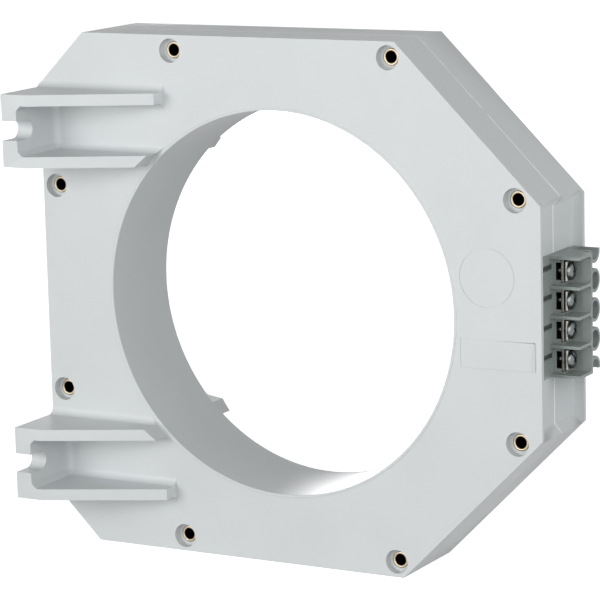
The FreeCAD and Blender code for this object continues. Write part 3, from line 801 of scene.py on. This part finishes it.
# %% Turn, cut and thread the screws
SEAT_X = 158.42
HEAD_R = 4.9
HEAD_HIGH = 2.58
SHANK_X = 152.3
SHANK_R = 1.62
SLOT_SIZE = (2.8, 12, 1.1)
CROSS_SIZE = (2.8, 1.0, 3.6)
SLOT_ANGLES = [96, 48, 52, 128]


def head_profile(seat, radius, high, end, shank_r):
    """Section of a screw from the shank's tip to the top of its domed head."""
    profile = [(0, end), (shank_r - 0.35, end), (shank_r, end + 0.35), (shank_r, seat),
               (radius - 0.25, seat), (radius, seat + 0.25), (radius, seat + high * 0.38)]
    for i in range(1, 7):
        angle = math.pi / 2 * i / 6
        profile.append((radius * math.cos(angle) if i < 6 else 0,
                        seat + high * (0.38 + 0.62 * math.sin(angle))))
    return profile


profile = head_profile(SEAT_X, HEAD_R, HEAD_HIGH, SHANK_X, SHANK_R)
for number, (z, angle) in enumerate(zip(POLES, SLOT_ANGLES), start=1):
    body = lathe("screw", profile, 48, "X", (0, 0, z), closed=False)
    for size in (SLOT_SIZE, CROSS_SIZE):
        body = carved(body, block_of("cutter", size, (SEAT_X + HEAD_HIGH, 0, z), angle))
    turns = run_group("thread_" + str(number), thread, {"Material": PLATED})
    turns.transform(Matrix.Translation(Vector((SHANK_X + 0.25, 0, z)) * MM))
    name = "terminal_screw_" + str(number)
    placed(name, joined(name, [body, turns]), PLATED, "screw_" + str(number),
           "zinc_plated_steel", "clamp_screw_" + str(number))

# %% [markdown]
# ## Bars and clamp plates
#
# The bars and plates are stamped from sheet. A punch leaves one edge a little round, so a
# small bevel on a merged copy is all that they need.

# %% Stamp the bars and plates
PUNCHED_EDGE = 0.2

for number in range(1, 5):
    for kind, body in (("contact_bar", "housing"), ("clamp_plate", "clamp_" + str(number))):
        node = kind + "_" + str(number)
        mesh = rounded(merged_copy(node), PUNCHED_EDGE)
        placed(node + "_stamped", mesh, STAMPED, body, "zinc_plated_steel", node)
print("stamped 8 pieces")

# %% [markdown]
# ## Fixing screws
#
# Two screws deep in the block's tubes hold it on the housing. They are turned like the
# terminal screws, and two crossed boxes cut their recess. Nobody sees their threads, so
# they have none.

# %% Turn the fixing screws
FIXING_Z = [16.4, -14.8]
TUBE_Y = 18.4
FIXING_SEAT_X, FIXING_LONG = 152.93, 12.9
FIXING_HEAD_R, FIXING_HEAD_HIGH, FIXING_SHANK_R = 3.35, 1.95, 1.68
RECESS_SIZES = ((2.6, 3.6, 0.8), (2.6, 0.8, 3.6))

profile = head_profile(FIXING_SEAT_X, FIXING_HEAD_R, FIXING_HEAD_HIGH,
                       FIXING_SEAT_X - FIXING_LONG, FIXING_SHANK_R)
top = FIXING_SEAT_X + FIXING_HEAD_HIGH
pieces = []
for z in FIXING_Z:
    screw = lathe("fixing", profile, 32, "X", (0, TUBE_Y, z), closed=False)
    for size in RECESS_SIZES:
        screw = carved(screw, block_of("cross", size, (top, TUBE_Y, z), 30))
    pieces.append(screw)
placed("fixing_screws", joined("fixing_screws", pieces), PLATED, "housing",
       "zinc_plated_steel", "block_fixing_screws")
print("fixing screws at Z", FIXING_Z)

# %% [markdown]
# ## Core and its case
#
# The core is a strip of electrical steel wound up like a clock spring, so it is a plain
# ring with a rectangular section. A plastic tray with a lid keeps the wire's enamel away
# from its edges.

# %% Turn the core and its case
CORE_R = (114.5, 127.5)
CORE_Y = 11.0
RINGS = {
    "wound_core": (CORE, "core_steel", "magnetic_core", 0.0, [
        (CORE_R[0], -CORE_Y), (CORE_R[1], -CORE_Y), (CORE_R[1], CORE_Y), (CORE_R[0], CORE_Y)]),
    "case_tray": (CASE, "case_plastic", "core_case_tray", 0.3, [
        (113.2, 11.1), (113.2, -12.3), (128.8, -12.3), (128.8, 11.1), (127.6, 11.1),
        (127.6, -11.1), (114.4, -11.1), (114.4, 11.1)]),
    "case_lid": (CASE, "case_plastic", "core_case_lid", 0.3, [
        (113.2, 11.12), (128.8, 11.12), (128.8, 12.3), (113.2, 12.3)])}
for name, (finish, slot, node, edge_mm, profile) in RINGS.items():
    mesh = lathe(name, profile, 120, "Y")
    if edge_mm:
        mesh = rounded(mesh, edge_mm)
    placed(name, mesh, finish, "housing", slot, node)
    print(name, "has", len(mesh.polygons), "faces")

# %% [markdown]
# ## Windings and tape
#
# A winding, a test winding and a wrap of tape all do the same: they go round the section
# of the ring again and again. One node group makes all three. It sweeps a small section
# along a rounded rectangle and sets copies of that turn round the ring, with a little
# unevenness in their spacing.

# %% Group for turns round a ring
ring, given = new_group("turns_round_a_ring", {
    "Turns": ("Int", 300), "Ring Radius": ("Float", 0.121), "Width": ("Float", 0.016),
    "Height": ("Float", 0.026), "Corner": ("Float", 0.001), "Wire Width": ("Float", 0.0015),
    "Wire Height": ("Float", 0.0015), "Start": ("Float", 0.0), "Arc": ("Float", math.tau),
    "Lean": ("Float", 0.0), "Uneven": ("Float", 0.002), "Seed": ("Int", 4),
    "Material": ("Material", None)})
loop = put(ring, "GeometryNodeCurvePrimitiveQuadrilateral", given["Width"], given["Height"])
loop = put(ring, "GeometryNodeFilletCurve", loop, 2, given["Corner"], mode="POLY")
wire = put(ring, "GeometryNodeCurvePrimitiveCircle", 6, 1.0)
size = put(ring, "ShaderNodeCombineXYZ", given["Wire Width"], given["Wire Height"], 1.0)
wire = put(ring, "GeometryNodeTransform", wire, None, None, size)
turn = put(ring, "GeometryNodeCurveToMesh", loop, wire, 1.0, False)
turn = put(ring, "GeometryNodeSetShadeSmooth", turn)
middle = put(ring, "ShaderNodeCombineXYZ", given["Ring Radius"], 0.0, 0.0)
turn = put(ring, "GeometryNodeTransform", turn, middle)
dots = put(ring, "GeometryNodeMeshLine", given["Turns"], None, (0, 0, 0), (0, 0, 0))
index = put(ring, "GeometryNodeInputIndex")
step = put(ring, "ShaderNodeMath", given["Arc"], given["Turns"], operation="DIVIDE")
angle = put(ring, "ShaderNodeMath", index, step, given["Start"], operation="MULTIPLY_ADD")
angle = put(ring, "ShaderNodeMath", angle, random_of(ring, given["Uneven"], given["Seed"]),
            operation="ADD")
spin = put(ring, "FunctionNodeAxisAngleToRotation", (0, 1, 0), angle)
lean = put(ring, "FunctionNodeAxisAngleToRotation", (1, 0, 0), given["Lean"])
both = put(ring, "FunctionNodeRotateRotation", spin, lean, rotation_space="LOCAL")
stood = put(ring, "GeometryNodeInstanceOnPoints", dots, True, turn, False, None, both)
close_group(ring, stood, given["Material"])

# %% [markdown]
# ## Three layers on the ring
#
# The same group runs three times with its own numbers: round wire wound close for the
# secondary, wide flat tape that overlaps, and a few turns of thin wire on one side.

# %% Wind the ring
WOUND = {
    "secondary_turns": (WIRE, "copper_wire", "secondary_winding", {
        "Turns": 420, "Width": 0.0173, "Height": 0.0263, "Wire Width": 0.00074,
        "Wire Height": 0.00074}),
    "tape_wraps": (TAPE, "tape", "insulation_tape", {
        "Turns": 90, "Width": 0.0197, "Height": 0.0287, "Wire Width": 0.00022,
        "Wire Height": 0.0052, "Lean": 0.004, "Seed": 9}),
    "test_turns": (WIRE, "copper_wire", "test_winding", {
        "Turns": 30, "Width": 0.0213, "Height": 0.0303, "Wire Width": 0.00042,
        "Wire Height": 0.00042, "Start": math.radians(180 - 12.6),
        "Arc": math.radians(25), "Seed": 6})}
for name, (finish, slot, node, sizes) in WOUND.items():
    mesh = run_group(name, ring, {**sizes, "Material": finish})
    placed(name, mesh, finish, "housing", slot, node)
    reach = max(math.hypot(v.co.x, v.co.z) for v in mesh.vertices) / MM
    print(name, "reaches radius", round(reach, 2), "depth",
          round(max(abs(v.co.y) for v in mesh.vertices) / MM, 2))

# %% [markdown]
# ## Leads and foam pads
#
# Four insulated leads run from the ring to the terminal bars. Their last few millimetres
# are stripped. Foam pads hold the ring in the housing, and foam has soft, slightly
# rounded edges.

# %% Leads and pads
LEAD_Y = 4.7
LEAD_END_X = 154.85
RING_R, LEAD_D = 131.3, 1.9
COVER_R, WIRE_R = 0.93, 0.55
STRIPPED = 3.5

pieces = []
for z in POLES:
    start = math.sqrt(RING_R ** 2 - (abs(z) - LEAD_D) ** 2)
    profile = [(0, start), (COVER_R, start), (COVER_R, LEAD_END_X - STRIPPED - 0.1),
               (WIRE_R, LEAD_END_X - STRIPPED), (WIRE_R, LEAD_END_X), (0, LEAD_END_X)]
    pieces.append(lathe("lead", profile, 20, "X", (0, LEAD_Y, z), closed=False))
placed("leads_stripped", joined("leads_stripped", pieces), LEAD, "housing", "lead_insulation",
       "winding_leads")
placed("pads_soft", rounded(merged_copy("foam_pads"), 0.8), FOAM, "housing", "foam",
       "foam_pads")
print("4 leads and 8 pads")

# %% [markdown]
# ## Studio
#
# A pale floor under the octagon's lower side catches a soft shadow. Paper would be the
# real thing. The background is white only to the camera and to reflections, so it adds
# no light to the part, and the lamps can stay at a plain level.

# %% Floor and world
FLOOR_Z = CAD_BOX[0].z


def seen_as_background(tree):
    """1 for camera, glossy and transmission rays."""
    path = tree.nodes.new("ShaderNodeLightPath")
    total = path.outputs["Is Camera Ray"]
    for kind in ("Is Glossy Ray", "Is Transmission Ray"):
        node = tree.nodes.new("ShaderNodeMath")
        node.operation = "MAXIMUM"
        tree.links.new(total, node.inputs[0])
        tree.links.new(path.outputs[kind], node.inputs[1])
        total = node.outputs[0]
    return total


AMBIENT = 0.2
PAPER_GLOW = 0.9
world = bpy.data.worlds.new("studio")
world.use_nodes = True
scene.world = world
sky = world.node_tree
background = sky.nodes["Background"]
strength = sky.nodes.new("ShaderNodeMapRange")
strength.inputs["To Min"].default_value = AMBIENT
strength.inputs["To Max"].default_value = 1.0
sky.links.new(seen_as_background(sky), strength.inputs["Value"])
sky.links.new(strength.outputs["Result"], background.inputs["Strength"])
background.inputs["Color"].default_value = (1, 1, 1, 1)

bpy.ops.mesh.primitive_plane_add(size=12, location=(0, 0, FLOOR_Z - 0.0002))
floor = bpy.context.object
floor.name = "floor"
paper = bpy.data.materials.new("paper")
paper.use_nodes = True
sheet = paper.node_tree
surface = sheet.nodes["Principled BSDF"].inputs
surface["Base Color"].default_value = (0.5, 0.5, 0.5, 1)
surface["Roughness"].default_value = 0.9
surface["Emission Color"].default_value = (1, 1, 1, 1)
glow = sheet.nodes.new("ShaderNodeMath")
glow.operation = "MULTIPLY"
glow.inputs[1].default_value = PAPER_GLOW
sheet.links.new(seen_as_background(sheet), glow.inputs[0])
sheet.links.new(glow.outputs[0], surface["Emission Strength"])
floor.data.materials.append(paper)
print("floor at", round(FLOOR_Z / MM, 1), "mm")

# %% [markdown]
# ## Lamps
#
# The photo's faces tell where the light stood. The front is the brightest, the terminal
# side is darker and the top is darker still, so the main light is low and in front. A
# fill from the right reaches into the pockets of the brackets, a small box lights the
# terminal side, and a weak one at the rear keeps the back from going dark.

# %% Set the lamps
def soft_lamp(name, azimuth, elevation, distance, size, power):
    """Square lamp that looks at the part's middle. Azimuth 0 is in front of it."""
    data = bpy.data.lights.new(name, "AREA")
    data.size = size
    data.energy = power
    lamp = bpy.data.objects.new(name, data)
    a, e = math.radians(azimuth), math.radians(elevation)
    away = Vector((math.sin(a) * math.cos(e), -math.cos(a) * math.cos(e), math.sin(e)))
    lamp.location = away * distance
    lamp.rotation_mode = "QUATERNION"
    lamp.rotation_quaternion = (-away).to_track_quat("-Z", "Y")
    scene.collection.objects.link(lamp)
    print(name, "at", [round(c, 2) for c in lamp.location], "m")


soft_lamp("front_box", -18, 8, 2.2, 1.5, 34)
soft_lamp("fill_box", 40, 12, 2.2, 1.2, 12.5)
soft_lamp("side_box", 76, 21, 1.2, 0.9, 3.9)
soft_lamp("rear_box", 212, -1, 2.2, 0.4, 10)

# %% [markdown]
# ## Camera
#
# The camera's place was worked out from the photo: the octagon's straight edges and the
# window's ellipse fix its distance, its angle and its lens. It stands to the right of
# the part and a little above it, and is tipped by about a degree and a half.

# %% Place the camera
CAMERA_PLACE = Vector((0.7743, -1.38858, 0.29623))
CAMERA_AZIMUTH = 29.2189
CAMERA_ELEVATION = 10.6322
CAMERA_ROLL = -1.4369
LENS = 177.99

azimuth, elevation = math.radians(CAMERA_AZIMUTH), math.radians(CAMERA_ELEVATION)
back = Vector((math.sin(azimuth) * math.cos(elevation), -math.cos(azimuth) * math.cos(elevation),
               math.sin(elevation)))
right = Vector((math.cos(azimuth), math.sin(azimuth), 0))
up = back.cross(right)
turn = math.radians(CAMERA_ROLL)
right, up = (right * math.cos(turn) + up * math.sin(turn),
             up * math.cos(turn) - right * math.sin(turn))
camera_data = bpy.data.cameras.new("camera")
camera_data.lens = LENS
camera_data.sensor_width = 36
camera = bpy.data.objects.new("camera", camera_data)
camera.matrix_world = (Matrix.Translation(CAMERA_PLACE)
                       @ Matrix((right, up, back)).transposed().to_4x4())
scene.collection.objects.link(camera)
scene.camera = camera
scene.view_settings.view_transform = "Standard"
print("camera at", [round(c, 3) for c in camera.location], "m, lens", LENS, "mm")
